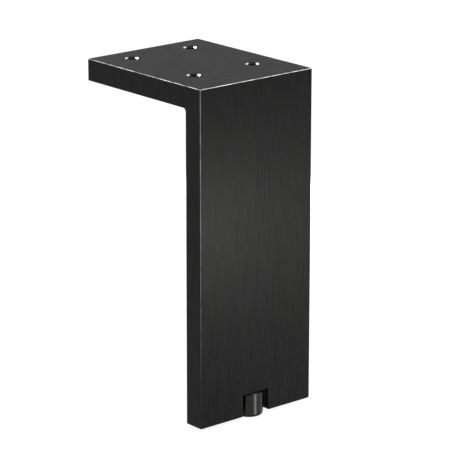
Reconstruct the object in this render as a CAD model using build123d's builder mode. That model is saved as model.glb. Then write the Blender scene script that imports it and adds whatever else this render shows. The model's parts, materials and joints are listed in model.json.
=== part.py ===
from build123d import *
import math
import os

os.makedirs("parts", exist_ok=True)

# Driving dimensions, in millimetres
# The L-shaped leg: one thick aluminium profile, cut to width and brushed
leg_height = 192.0  # mounting face to the plate's lower edge
leg_width = 80.0
flange_depth = 98.0  # front face to the flange's free end
wall = 12.7  # thickness of the flange and of the plate
inner_radius = 2.0  # in the corner between flange and plate
edge_radius = 0.8  # all outer edges are eased

# The four screw holes in the flange
hole_spacing_x = 42.0
hole_spacing_y = 54.0
screw_hole_dia = 4.5
face_sink_dia = 7.5  # countersink on the mounting face, a shallow one
face_sink_angle = 120.0
head_sink_dia = 9.2  # countersink on the underside, for the screw's head
head_sink_angle = 90.0

# The levelling foot's turned body
foot_dia = 16.0
foot_body_height = 12.4
foot_top_chamfer = 0.8
foot_bottom_chamfer = 0.3
foot_gap = 0.4  # between the foot's top and the notch's ceiling, screwed in

# The foot's threaded stud, drawn at its outer diameter
thread_dia = 8.0
thread_clearance = 0.05  # on the radius, in the tapped bore
stud_length = 30.0
stud_chamfer = 0.8
stud_seat_depth = 7.0  # set into the foot's body
stud_seat_clearance = 0.02  # on the radius, filled by the bond
tip_clearance = 2.4  # above the stud's tip, screwed in
mouth_chamfer = 0.6  # at the tapped bore's mouth
drill_point_angle = 118.0

# The notch that the foot turns in
notch_side_clearance = 1.5  # between the foot and each side wall
notch_edge_break = 0.25

# The glide pad, held by a split snap peg
pad_dia = 15.4
pad_thickness = 1.3
pad_edge_radius = 0.8
pad_rim_chamfer = 0.2
peg_dia = 4.4
peg_clearance = 0.05  # on the radius, so that the pad swivels
peg_neck = 2.4  # height of the peg below its snap bead
bead_dia = 5.2
bead_height = 1.2
bead_play = 0.1  # above and below the bead
peg_slot = 0.8
peg_slot_depth = 3.0
peg_lead_in = 0.4  # at the body's hole and on the bead

# Places that follow from the sizes. The origin is the centre of the hole
# pattern on the mounting face, with +Z up and -Y towards the front face.
front_y = -(wall + flange_depth) / 2
inner_y = front_y + wall
free_end_y = front_y + flange_depth
foot_y = front_y + wall / 2
notch_width = foot_dia + 2 * notch_side_clearance
notch_height = foot_body_height + foot_gap
ceiling_z = -leg_height + notch_height
foot_top_z = ceiling_z - foot_gap
foot_bottom_z = foot_top_z - foot_body_height
pad_bottom_z = foot_bottom_z - pad_thickness
stud_bottom_z = foot_top_z - stud_seat_depth
stud_top_z = stud_bottom_z + stud_length
stud_radius = thread_dia / 2
bore_radius = stud_radius + thread_clearance
bore_top_z = stud_top_z + tip_clearance
drill_point_height = bore_radius / math.tan(math.radians(drill_point_angle / 2))
foot_radius = foot_dia / 2
pad_radius = pad_dia / 2
peg_radius = peg_dia / 2
peg_hole_radius = peg_radius + peg_clearance
bead_radius = bead_dia / 2
groove_radius = bead_radius + peg_clearance
bead_bottom_z = foot_bottom_z + peg_neck
bead_top_z = bead_bottom_z + bead_height

# The foot's pieces are turned about this axis, from profiles drawn beside it
foot_axis = Axis((0, foot_y, 0), (0, 0, 1))
foot_plane = Plane.XZ.offset(-foot_y)

# Leg: the L profile, with eased edges, holes, notch and tapped bore
with BuildPart() as leg_bracket:
    with BuildSketch(Plane.YZ):
        with BuildLine():
            Polyline(
                (front_y, 0),
                (free_end_y, 0),
                (free_end_y, -wall),
                (inner_y, -wall),
                (inner_y, -leg_height),
                (front_y, -leg_height),
                close=True,
            )
        make_face()
        fillet(vertices().sort_by_distance((inner_y, -wall))[0], inner_radius)
    extrude(amount=leg_width / 2, both=True)

    # Every edge but the two where the inner corner's round runs out
    corner_edges = edges().filter_by(Axis.X).sort_by_distance((0, inner_y, -wall))[:2]
    fillet(edges() - corner_edges, edge_radius)

    # Screw holes, countersunk on the mounting face and on the underside
    with GridLocations(hole_spacing_x, hole_spacing_y, 2, 2):
        CounterSinkHole(
            radius=screw_hole_dia / 2,
            counter_sink_radius=face_sink_dia / 2,
            counter_sink_angle=face_sink_angle,
        )
    with Locations(Plane(origin=(0, 0, -wall), z_dir=(0, 0, -1))):
        with GridLocations(hole_spacing_x, hole_spacing_y, 2, 2):
            CounterSinkHole(
                radius=screw_hole_dia / 2,
                counter_sink_radius=head_sink_dia / 2,
                depth=wall,
                counter_sink_angle=head_sink_angle,
            )

    # Notch through the plate's lower edge
    with BuildSketch(foot_plane):
        with Locations((0, -leg_height)):
            Rectangle(notch_width, 2 * notch_height)
    extrude(amount=wall, both=True, mode=Mode.SUBTRACT)

    # The notch's outline on the front and the back of the plate
    notch_edges = edges().filter_by(
        lambda edge: abs(edge.center().X) < notch_width / 2 + edge_radius
        and ceiling_z - notch_height < edge.center().Z < ceiling_z + edge_radius
        and abs(abs(edge.center().Y - foot_y) - wall / 2) < edge_radius / 4
        and edge.geom_type == GeomType.LINE
    )
    chamfer(notch_edges, notch_edge_break)

    # Blind tapped bore up from the notch's ceiling, with its drill point
    with BuildSketch(foot_plane):
        with BuildLine():
            Polyline(
                (0, ceiling_z),
                (bore_radius + mouth_chamfer, ceiling_z),
                (bore_radius, ceiling_z + mouth_chamfer),
                (bore_radius, bore_top_z),
                (0, bore_top_z + drill_point_height),
                close=True,
            )
        make_face()
    revolve(axis=foot_axis, mode=Mode.SUBTRACT)

# Stud: threaded rod with chamfered ends
with BuildPart() as foot_stud:
    with BuildSketch(foot_plane):
        with BuildLine():
            Polyline(
                (0, stud_bottom_z),
                (stud_radius - stud_chamfer, stud_bottom_z),
                (stud_radius, stud_bottom_z + stud_chamfer),
                (stud_radius, stud_top_z - stud_chamfer),
                (stud_radius - stud_chamfer, stud_top_z),
                (0, stud_top_z),
                close=True,
            )
        make_face()
    revolve(axis=foot_axis)

# Foot body: turned disc with a seat for the stud above and the snap groove below
with BuildPart() as foot_body:
    with BuildSketch(foot_plane):
        with BuildLine():
            Polyline(
                (0, stud_bottom_z),
                (stud_radius + stud_seat_clearance, stud_bottom_z),
                (stud_radius + stud_seat_clearance, foot_top_z),
                (foot_radius - foot_top_chamfer, foot_top_z),
                (foot_radius, foot_top_z - foot_top_chamfer),
                (foot_radius, foot_bottom_z + foot_bottom_chamfer),
                (foot_radius - foot_bottom_chamfer, foot_bottom_z),
                (peg_hole_radius + peg_lead_in, foot_bottom_z),
                (peg_hole_radius, foot_bottom_z + peg_lead_in),
                (peg_hole_radius, bead_bottom_z - bead_play),
                (groove_radius, bead_bottom_z - bead_play),
                (groove_radius, bead_top_z + bead_play),
                (0, bead_top_z + bead_play),
                close=True,
            )
        make_face()
    revolve(axis=foot_axis)

# Glide pad: disc on the floor, with the split peg that snaps into the body
with BuildPart() as glide_pad:
    with BuildSketch(foot_plane):
        with BuildLine():
            Polyline(
                (0, pad_bottom_z),
                (pad_radius, pad_bottom_z),
                (pad_radius, foot_bottom_z - pad_rim_chamfer),
                (pad_radius - pad_rim_chamfer, foot_bottom_z),
                (peg_radius, foot_bottom_z),
                (peg_radius, bead_bottom_z),
                (bead_radius, bead_bottom_z),
                (bead_radius, bead_top_z - peg_lead_in),
                (bead_radius - peg_lead_in, bead_top_z),
                (0, bead_top_z),
                close=True,
            )
        make_face()
        fillet(vertices().sort_by_distance((pad_radius, pad_bottom_z))[0], pad_edge_radius)
    revolve(axis=foot_axis)
    with BuildSketch(foot_plane):
        with Locations((0, bead_top_z)):
            Rectangle(peg_slot, 2 * peg_slot_depth)
    extrude(amount=bead_dia, both=True, mode=Mode.SUBTRACT)

leg_bracket.part.label = "leg_bracket"
foot_stud.part.label = "foot_stud"
foot_body.part.label = "foot_body"
glide_pad.part.label = "glide_pad"

export_step(leg_bracket.part, "parts/leg_bracket.step")
export_step(foot_stud.part, "parts/foot_stud.step")
export_step(foot_body.part, "parts/foot_body.step")
export_step(glide_pad.part, "parts/glide_pad.step")
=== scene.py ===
import json
import math

import bmesh
import bpy
from mathutils import Matrix, Vector


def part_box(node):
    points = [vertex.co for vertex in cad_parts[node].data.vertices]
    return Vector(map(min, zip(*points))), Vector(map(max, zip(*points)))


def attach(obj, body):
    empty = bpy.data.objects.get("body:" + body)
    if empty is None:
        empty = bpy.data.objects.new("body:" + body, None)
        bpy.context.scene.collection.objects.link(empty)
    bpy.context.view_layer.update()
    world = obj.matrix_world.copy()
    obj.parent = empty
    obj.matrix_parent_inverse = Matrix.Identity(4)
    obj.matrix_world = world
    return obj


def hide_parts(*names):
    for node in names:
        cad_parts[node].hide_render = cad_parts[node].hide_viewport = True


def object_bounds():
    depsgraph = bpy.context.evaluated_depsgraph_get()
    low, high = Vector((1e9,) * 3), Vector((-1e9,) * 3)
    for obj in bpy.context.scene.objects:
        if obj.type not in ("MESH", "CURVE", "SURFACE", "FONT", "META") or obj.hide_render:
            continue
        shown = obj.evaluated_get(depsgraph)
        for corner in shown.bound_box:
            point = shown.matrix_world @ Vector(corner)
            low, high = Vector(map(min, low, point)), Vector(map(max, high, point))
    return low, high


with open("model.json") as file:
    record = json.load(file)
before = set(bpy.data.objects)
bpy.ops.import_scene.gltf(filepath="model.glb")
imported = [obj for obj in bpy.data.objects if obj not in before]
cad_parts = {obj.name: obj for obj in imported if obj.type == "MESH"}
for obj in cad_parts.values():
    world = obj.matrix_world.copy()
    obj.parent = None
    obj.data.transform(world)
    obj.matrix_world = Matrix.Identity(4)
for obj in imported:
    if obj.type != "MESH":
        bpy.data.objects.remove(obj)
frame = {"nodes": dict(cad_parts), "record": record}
cad_low, cad_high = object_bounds()

# Places that the looks need, in metres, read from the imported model
leg_low, leg_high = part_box("leg_bracket")
stud_low, stud_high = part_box("foot_stud")
foot_low, foot_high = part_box("foot_body")
mounts = {mount["name"]: mount for mount in frame["record"]["mounts"]}
hole_dims = mounts["screw_holes"]["dims"]
hole_x = hole_dims["spacing_x_mm"] / 2000
hole_y = hole_dims["spacing_y_mm"] / 2000
foot_x = (foot_low.x + foot_high.x) / 2
foot_y = (foot_low.y + foot_high.y) / 2
stud_radius = (stud_high.x - stud_low.x) / 2
floor_z = cad_low.z

# Camera, fitted to the photograph's edges
PHOTO_SIZE = 450  # pixels, both ways
FOCAL_LENGTH = 2652  # pixels
SENSOR = 36.0  # millimetres
CAMERA_YAW = math.radians(40.26)
CAMERA_PITCH = math.radians(16.45)
CORNER_PIXEL = (200.14, 89.86)  # where the front top corner lies in the picture
CORNER_DEPTH = 1.4028  # metres from the camera, along its view
FARTHEST_SEEN = 20  # metres


def make_camera():
    right = Vector((math.cos(CAMERA_YAW), -math.sin(CAMERA_YAW), 0))
    level = Vector((math.sin(CAMERA_YAW), math.cos(CAMERA_YAW), 0))
    ahead = level * math.cos(CAMERA_PITCH) - Vector((0, 0, math.sin(CAMERA_PITCH)))
    down = ahead.cross(right)
    across, below = (pixel - PHOTO_SIZE / 2 for pixel in CORNER_PIXEL)
    corner = Vector((leg_low.x, leg_low.y, leg_high.z))
    ray = ahead + (right * across + down * below) / FOCAL_LENGTH
    data = bpy.data.cameras.new("camera")
    data.sensor_width = SENSOR
    data.lens = FOCAL_LENGTH / PHOTO_SIZE * SENSOR
    data.clip_end = FARTHEST_SEEN
    camera = bpy.data.objects.new("camera", data)
    turn = Matrix((right, -down, -ahead)).transposed()
    camera.matrix_world = Matrix.Translation(corner - ray * CORNER_DEPTH) @ turn.to_4x4()
    bpy.context.scene.collection.objects.link(camera)
    bpy.context.scene.camera = camera


# Node helpers. For each type, the mix node's sockets for its two values and its result
MIX_SOCKETS = {"FLOAT": (2, 3, 0), "VECTOR": (4, 5, 1), "RGBA": (6, 7, 2)}


def set_inputs(tree, node, inputs):
    for name, value in inputs.items():
        if isinstance(value, bpy.types.NodeSocket):
            tree.links.new(value, node.inputs[name])
        else:
            node.inputs[name].default_value = value


def add_node(tree, kind, inputs=None, **settings):
    node = tree.nodes.new(kind)
    for name, value in settings.items():
        setattr(node, name, value)
    set_inputs(tree, node, inputs or {})
    return node


def calculate(tree, operation, first, second=0.0, third=0.0):
    inputs = {0: first, 1: second, 2: third}
    return add_node(tree, "ShaderNodeMath", inputs, operation=operation).outputs[0]


def chain(tree, operation, first, *others):
    """One operation over any number of values, such as their product."""
    for other in others:
        first = calculate(tree, operation, first, other)
    return first


def vector_math(tree, operation, first, second=(0.0, 0.0, 0.0)):
    inputs = {0: first, 1: second}
    return add_node(tree, "ShaderNodeVectorMath", inputs, operation=operation).outputs[0]


def split(tree, vector):
    return add_node(tree, "ShaderNodeSeparateXYZ", {"Vector": vector}).outputs


def flat_length(tree, x, y):
    flat = add_node(tree, "ShaderNodeCombineXYZ", {"X": x, "Y": y}).outputs[0]
    return add_node(tree, "ShaderNodeVectorMath", {0: flat}, operation="LENGTH").outputs["Value"]


def ramp_between(tree, value, low, high, at_low=0.0, at_high=1.0):
    inputs = {"Value": value, "From Min": low, "From Max": high, "To Min": at_low, "To Max": at_high}
    node = add_node(tree, "ShaderNodeMapRange", inputs, interpolation_type="SMOOTHSTEP")
    return node.outputs["Result"]


def mix(tree, kind, share, first, second):
    first_socket, second_socket, result = MIX_SOCKETS[kind]
    node = add_node(tree, "ShaderNodeMix", data_type=kind)
    set_inputs(tree, node, {0: share, first_socket: first, second_socket: second})
    return node.outputs[result]


def blend(tree, share, first, second):
    return mix(tree, "FLOAT", share, first, second)


def blend_colours(tree, share, first, second):
    return mix(tree, "RGBA", share, first, second)


def noise(tree, place, scale, detail=2.0):
    scaled = vector_math(tree, "MULTIPLY", place, scale)
    inputs = {"Vector": scaled, "Scale": 1.0, "Detail": detail, "Roughness": 0.6}
    return add_node(tree, "ShaderNodeTexNoise", inputs).outputs["Fac"]


def bump(tree, height, strength, depth):
    inputs = {"Height": height, "Strength": strength, "Distance": depth}
    return add_node(tree, "ShaderNodeBump", inputs).outputs[0]


def grey(level, warmth=0.0):
    return (level * (1 + warmth), level, level * (1 - warmth), 1.0)


def first_of(tree, kind):
    return next(node for node in tree.nodes if node.type == kind)


def new_material(name):
    material = bpy.data.materials.new(name)
    material.use_nodes = True
    tree = material.node_tree
    return material, tree, first_of(tree, "BSDF_PRINCIPLED")


def object_place(tree):
    return tree.nodes.new("ShaderNodeTexCoord").outputs["Object"]


# Brushed black aluminium. Lengths are in metres, levels and shares run from 0 to 1
FACE_LEVEL = 0.0055  # anodised faces
EDGE_LEVEL = 0.55  # edges where the black is worn and the metal shines, which also paints the edges' highlights
SINK_LEVEL = 0.85  # bare metal in the countersinks
WARMTH = 0.015  # how much warmer than grey the black is

GRAIN_ACROSS, GRAIN_ALONG = 1900, 60  # fine brush lines, in waves a metre
BANDS_ACROSS, BANDS_ALONG = 300, 9  # broader, fainter bands among them
BANDS_SHARE = 0.15

SINK_INSIDE = 0.0028  # from a hole's axis, where bare metal starts
SINK_OUTSIDE = 0.0050  # from a hole's axis, past the countersink
SINK_FACING = 0.75  # how far upwards a countersink's slope faces
SINK_FACING_SPREAD = 0.2  # either way
HOLE_CLEAR = 0.006  # worn edges, with their painted highlight, keep this far from a hole's axis

# Worn edges double as painted highlights: bright along the mounting face, and on upright edges
# brighter higher up
RIM_DEPTH = 0.0015  # the mounting face's edges reach down this far
WEAR_HIGHLIGHT_BOTTOM, WEAR_HIGHLIGHT_TOP = -0.20, -0.03  # heights between which upright wear and its painted highlight grow
LEAST_WEAR_HIGHLIGHT, MOST_WEAR_HIGHLIGHT = 0.05, 0.5
WEAR_HIGHLIGHT_SPOTS = 130  # in waves a metre


def hole_distance(tree, place):
    """Distance from the nearest of the four screw holes' axes."""
    parts = split(tree, place)
    off_x = calculate(tree, "SUBTRACT", calculate(tree, "ABSOLUTE", parts["X"]), hole_x)
    off_y = calculate(tree, "SUBTRACT", calculate(tree, "ABSOLUTE", parts["Y"]), hole_y)
    return flat_length(tree, off_x, off_y)


def bare_metal(tree, from_hole, facing_up):
    """1 on the countersinks, 0 elsewhere."""
    near = ramp_between(tree, from_hole, SINK_OUTSIDE, SINK_OUTSIDE + 0.0002, at_low=1.0, at_high=0.0)
    rubbed = ramp_between(tree, from_hole, SINK_INSIDE, SINK_INSIDE + 0.0001)
    sloped = calculate(tree, "COMPARE", facing_up, SINK_FACING, SINK_FACING_SPREAD)
    return chain(tree, "MULTIPLY", near, rubbed, sloped)


def edge_wear_and_highlight(tree, place, from_hole, facing, squareness):
    """Worn metal along the mounting face's edges and the upright ones, less lower down, also standing
    in as painted highlights.
    """
    ridge = ramp_between(tree, squareness, 0.80, 0.93, at_low=1.0, at_high=0.0)
    height = split(tree, place)["Z"]
    upper = calculate(tree, "GREATER_THAN", height, -RIM_DEPTH)
    upright = ramp_between(tree, facing["Z"], 0.2, 0.4, at_low=1.0, at_high=0.0)
    # painted highlight: upright edges brighter higher up, fainter lower down
    fading = ramp_between(tree, height, WEAR_HIGHLIGHT_BOTTOM, WEAR_HIGHLIGHT_TOP, LEAST_WEAR_HIGHLIGHT, MOST_WEAR_HIGHLIGHT)
    wear_and_highlight = calculate(tree, "MAXIMUM", upper, calculate(tree, "MULTIPLY", upright, fading))
    spots = noise(tree, place, (WEAR_HIGHLIGHT_SPOTS, WEAR_HIGHLIGHT_SPOTS, WEAR_HIGHLIGHT_SPOTS), detail=4.0)
    uneven = ramp_between(tree, spots, 0.3, 0.6, at_low=0.6, at_high=1.0)
    clear = calculate(tree, "GREATER_THAN", from_hole, HOLE_CLEAR)
    return chain(tree, "MULTIPLY", wear_and_highlight, uneven, ridge, clear)


def brushed_noise(tree, place, lying, across, along, detail):
    """Noise drawn out along X on the flange and along Z on the upright faces."""
    upright = noise(tree, place, (across, across, along), detail)
    flat = noise(tree, place, (along, across, across), detail)
    return blend(tree, lying, upright, flat)


def aluminium_colour(tree, grain, bands, wear_and_highlight, bare):
    faint_bands = calculate(tree, "MULTIPLY", bands, BANDS_SHARE)
    shade = calculate(tree, "MULTIPLY_ADD", grain, 1 - BANDS_SHARE, faint_bands)
    dark, light = grey(FACE_LEVEL * 0.55, WARMTH), grey(FACE_LEVEL * 1.5, WARMTH)
    face = blend_colours(tree, ramp_between(tree, shade, 0.38, 0.62), dark, light)
    # worn edges as bare metal, which also paint the edges' highlights
    with_edges = blend_colours(tree, wear_and_highlight, face, grey(EDGE_LEVEL))
    return blend_colours(tree, bare, with_edges, grey(SINK_LEVEL))


def aluminium_roughness(tree, grain, squareness, wear_and_highlight, bare):
    face = ramp_between(tree, grain, 0.35, 0.65, at_low=0.46, at_high=0.39)
    rounded = ramp_between(tree, squareness, 0.93, 0.99, at_low=1.0, at_high=0.0)
    with_rounds = blend(tree, rounded, face, 0.75)
    with_edges = blend(tree, wear_and_highlight, with_rounds, 0.3)
    return blend(tree, bare, with_edges, 0.06)


def make_brushed_aluminium():
    material, tree, shader = new_material("brushed_black_aluminium")
    coordinates = tree.nodes.new("ShaderNodeTexCoord")
    place = coordinates.outputs["Object"]
    facing = split(tree, vector_math(tree, "ABSOLUTE", coordinates.outputs["Normal"]))
    squareness = chain(tree, "MAXIMUM", facing["X"], facing["Y"], facing["Z"])
    lying = ramp_between(tree, facing["Z"], 0.6, 0.8)
    from_hole = hole_distance(tree, place)
    wear_and_highlight = edge_wear_and_highlight(tree, place, from_hole, facing, squareness)
    bare = bare_metal(tree, from_hole, facing["Z"])
    grain = brushed_noise(tree, place, lying, GRAIN_ACROSS, GRAIN_ALONG, detail=3.0)
    bands = brushed_noise(tree, place, lying, BANDS_ACROSS, BANDS_ALONG, detail=2.0)
    # painted sheen: sides facing X are made more reflective than the front, back and top, so they
    # render lighter
    side_sheen_gloss = ramp_between(tree, facing["X"], 0.6, 0.8, at_low=0.085, at_high=0.11)
    set_inputs(tree, shader, {
        "Base Color": aluminium_colour(tree, grain, bands, wear_and_highlight, bare),
        "Metallic": calculate(tree, "MAXIMUM", wear_and_highlight, bare),
        "Specular IOR Level": blend(tree, lying, side_sheen_gloss, 0.075),
        "Roughness": aluminium_roughness(tree, grain, squareness, wear_and_highlight, bare),
        "Anisotropic": 0.75,
        "Anisotropic Rotation": 0.25,
        "Tangent": mix(tree, "VECTOR", lying, (0.0, 0.0, 1.0), (1.0, 0.0, 0.0)),
        "Normal": bump(tree, grain, strength=0.2, depth=0.00002),
    })
    return material


# Turned steel, plated black: fine rings round the foot's axis
def make_plated_steel():
    material, tree, shader = new_material("turned_black_steel")
    place = object_place(tree)
    rings = noise(tree, place, (40, 40, 5000))
    patches = noise(tree, place, (500, 500, 300), detail=3.0)
    normal = tree.nodes.new("ShaderNodeNewGeometry").outputs["Normal"]
    around = vector_math(tree, "CROSS_PRODUCT", (0.0, 0.0, 1.0), normal)
    set_inputs(tree, shader, {
        "Base Color": blend_colours(tree, patches, grey(0.028, 0.01), grey(0.034, 0.01)),
        "Metallic": 1.0,
        "Roughness": ramp_between(tree, rings, 0.35, 0.65, at_low=0.33, at_high=0.38),
        "Anisotropic": 0.96,
        "Anisotropic Rotation": 0.25,
        "Tangent": around,
        "Normal": bump(tree, rings, strength=0.1, depth=0.00001),
    })
    return material


# Zinc on the thread: pale grey crystals, with painted shade darkening the roots
def make_zinc():
    material, tree, shader = new_material("zinc_plated_thread")
    place = object_place(tree)
    crystals = noise(tree, place, (2500, 2500, 2500), detail=3.0)
    parts = split(tree, vector_math(tree, "SUBTRACT", place, (foot_x, foot_y, 0.0)))
    from_axis = flat_length(tree, parts["X"], parts["Y"])
    crest = ramp_between(tree, from_axis, stud_radius - THREAD_DEPTH, stud_radius)
    tinted = blend_colours(tree, crystals, (0.42, 0.44, 0.46, 1.0), (0.60, 0.61, 0.62, 1.0))
    set_inputs(tree, shader, {
        # painted shade: the thread's roots drawn darker than its crests
        "Base Color": blend_colours(tree, crest, grey(0.22), tinted),
        "Metallic": 1.0,
        "Roughness": ramp_between(tree, crystals, 0.3, 0.7, at_low=0.30, at_high=0.45),
        "Normal": bump(tree, crystals, strength=0.1, depth=0.00002),
    })
    return material


# Moulded plastic with a fine grain
def make_black_plastic():
    material, tree, shader = new_material("moulded_black_plastic")
    place = object_place(tree)
    grain = noise(tree, place, (4000, 4000, 4000), detail=3.0)
    set_inputs(tree, shader, {
        "Base Color": blend_colours(tree, grain, grey(0.006), grey(0.012)),
        "Specular IOR Level": 0.15,
        "Roughness": ramp_between(tree, grain, 0.3, 0.7, at_low=0.45, at_high=0.62),
        "Normal": bump(tree, grain, strength=0.3, depth=0.00003),
    })
    return material


# The foot's thread, drawn in full where the CAD has its outer diameter
THREAD_PITCH = 0.00125
THREAD_DEPTH = 0.0006766
THREAD_CHAMFER = 0.0008
COLUMNS = 72  # points in a turn
SHARP_ANGLE = math.radians(25)
WELD_DISTANCE = 1e-7

# One pitch of the thread: how far along it lies, and how deep below the crest
PROFILE = (
    (0, 0),
    (0.125, 0),
    (0.229, 1 / 3),
    (0.333, 2 / 3),
    (0.4375, 1),
    (0.6875, 1),
    (0.792, 2 / 3),
    (0.896, 1 / 3),
)


def thread_point(turn, base, depth):
    """A point of the right-hand thread, cut off by the chamfered ends."""
    low, high = stud_low.z, stud_high.z
    height = min(max(base + THREAD_PITCH * turn, low), high)
    end = stud_radius - THREAD_CHAMFER + min(height - low, high - height)
    radius = min(stud_radius - THREAD_DEPTH * depth, end)
    angle = 2 * math.pi * turn
    return foot_x + radius * math.cos(angle), foot_y + radius * math.sin(angle), height


def thread_rows(form):
    """Rows of points, each a turn long, that climb the stud."""
    pitches = math.ceil((stud_high.z - stud_low.z) / THREAD_PITCH) + 1
    rows = []
    for row in range(pitches * len(PROFILE) + 1):
        place, depth = PROFILE[row % len(PROFILE)]
        base = stud_low.z + THREAD_PITCH * (row // len(PROFILE) - 1 + place)
        points = [thread_point(step / COLUMNS, base, depth) for step in range(COLUMNS)]
        rows.append([form.verts.new(point) for point in points])
    return rows


def skin_thread(form, rows):
    for near, far in zip(rows, rows[1:]):
        for step in range(COLUMNS - 1):
            form.faces.new((near[step], near[step + 1], far[step + 1], far[step]))
    # Each turn's last column meets the next turn's first
    for row in range(len(rows) - 1 - len(PROFILE)):
        next_turn = row + len(PROFILE)
        first_column = rows[next_turn][0], rows[next_turn + 1][0]
        form.faces.new((rows[row][-1], *first_column, rows[row + 1][-1]))
    bmesh.ops.remove_doubles(form, verts=form.verts, dist=WELD_DISTANCE)
    open_edges = [edge for edge in form.edges if edge.is_boundary]
    bmesh.ops.holes_fill(form, edges=open_edges)
    bmesh.ops.recalc_face_normals(form, faces=form.faces)


def make_thread():
    form = bmesh.new()
    skin_thread(form, thread_rows(form))
    mesh = bpy.data.meshes.new("foot_thread")
    form.to_mesh(mesh)
    form.free()
    mesh.shade_smooth()
    mesh.set_sharp_from_angle(angle=SHARP_ANGLE)
    thread = bpy.data.objects.new("foot_thread", mesh)
    bpy.context.scene.collection.objects.link(thread)
    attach(thread, "screw")
    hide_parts("foot_stud")
    return thread


# Floor and world: white to the camera, and the same white in reflections
FLOOR_REACH = 6.0  # metres from the middle to each side
FLOOR_GLOW = 0.85  # the white that shows even in the shadow
FLOOR_SHADE = 0.3  # the share that takes the object's shadow
AMBIENT = 0.3  # the world's light on the object
OVERHEAD = 0.01  # what reflections show overhead, dark but for the softboxes


def shows_background(tree):
    """1 for what the camera, a reflection or a clear piece shows."""
    paths = tree.nodes.new("ShaderNodeLightPath").outputs
    rays = (paths[name] for name in ("Is Camera Ray", "Is Glossy Ray", "Is Transmission Ray"))
    return chain(tree, "MAXIMUM", *rays)


def make_floor_material():
    material, tree, shader = new_material("pale_floor")
    material.cycles.emission_sampling = "NONE"
    set_inputs(tree, shader, {"Base Color": grey(0.8), "Roughness": 0.9})
    white = add_node(tree, "ShaderNodeEmission", {"Color": grey(1.0), "Strength": FLOOR_GLOW})
    soft = add_node(tree, "ShaderNodeBsdfDiffuse", {"Color": grey(FLOOR_SHADE)})
    seen = add_node(tree, "ShaderNodeAddShader", {0: white.outputs[0], 1: soft.outputs[0]})
    shaders = {0: shows_background(tree), 1: shader.outputs[0], 2: seen.outputs[0]}
    mixed = add_node(tree, "ShaderNodeMixShader", shaders)
    output = first_of(tree, "OUTPUT_MATERIAL")
    tree.links.new(mixed.outputs[0], output.inputs["Surface"])
    return material


def make_floor():
    """The floor follows the pad, so that the foot stands on it at every pose."""
    mesh = bpy.data.meshes.new("floor")
    sides = ((-1, -1), (1, -1), (1, 1), (-1, 1))
    corners = [(x * FLOOR_REACH, y * FLOOR_REACH, floor_z) for x, y in sides]
    mesh.from_pydata(corners, [], [(0, 1, 2, 3)])
    mesh.materials.append(make_floor_material())
    floor = bpy.data.objects.new("floor", mesh)
    bpy.context.scene.collection.objects.link(floor)
    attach(floor, "glide")


def make_world():
    world = bpy.data.worlds.new("studio")
    bpy.context.scene.world = world
    world.use_nodes = True
    world.cycles.sampling_method = "NONE"
    tree = world.node_tree
    direction = tree.nodes.new("ShaderNodeTexCoord").outputs["Generated"]
    height = split(tree, direction)["Z"]
    backdrop = ramp_between(tree, height, 0.6, 0.85, at_low=1.0, at_high=OVERHEAD)
    strength = blend(tree, shows_background(tree), AMBIENT, backdrop)
    set_inputs(tree, first_of(tree, "BACKGROUND"), {"Color": grey(1.0), "Strength": strength})


def make_softbox(name, aim, offset, width, height, power):
    data = bpy.data.lights.new(name, "AREA")
    data.shape = "RECTANGLE"
    data.size = width
    data.size_y = height
    data.energy = power
    data.color = (1.0, 0.985, 0.96)
    lamp = bpy.data.objects.new(name, data)
    place = aim + Vector(offset)
    lamp.location = place
    lamp.rotation_mode = "QUATERNION"
    lamp.rotation_quaternion = (place - aim).to_track_quat("Z", "Y")
    lamp.visible_camera = False
    bpy.context.scene.collection.objects.link(lamp)


def make_softboxes():
    leg = (leg_low + leg_high) / 2
    foot = (foot_low + foot_high) / 2
    flange = Vector((0.0, 0.0, 0.0))
    # What each is aimed at, where it stands from there, width and height, and watts
    make_softbox("back_softbox", leg, (0.0, 1.2, 1.0), 1.4, 0.6, 7)
    make_softbox("high_softbox", leg, (0.62, -0.53, 1.26), 1.0, 0.8, 9)
    make_softbox("low_softbox", foot, (0.06, -0.29, 0.027), 0.08, 0.06, 0.85)
    make_softbox("low_rear_softbox", foot, (0.35, 0.35, 0.06), 0.3, 0.1, 1.8)
    make_softbox("rear_softbox", flange, (0.12, 0.36, 0.10), 0.10, 0.06, 0.25)


make_camera()
make_floor()
make_world()
make_softboxes()

finishes = {
    "leg_bracket": make_brushed_aluminium(),
    "foot_body": make_plated_steel(),
    "foot_stud": make_zinc(),
    "glide_pad": make_black_plastic(),
}
for node_name, finish in finishes.items():
    node_mesh = frame["nodes"][node_name].data
    node_mesh.materials.clear()
    node_mesh.materials.append(finish)
make_thread().data.materials.append(finishes["foot_stud"])

bpy.context.scene.view_settings.view_transform = "Standard"
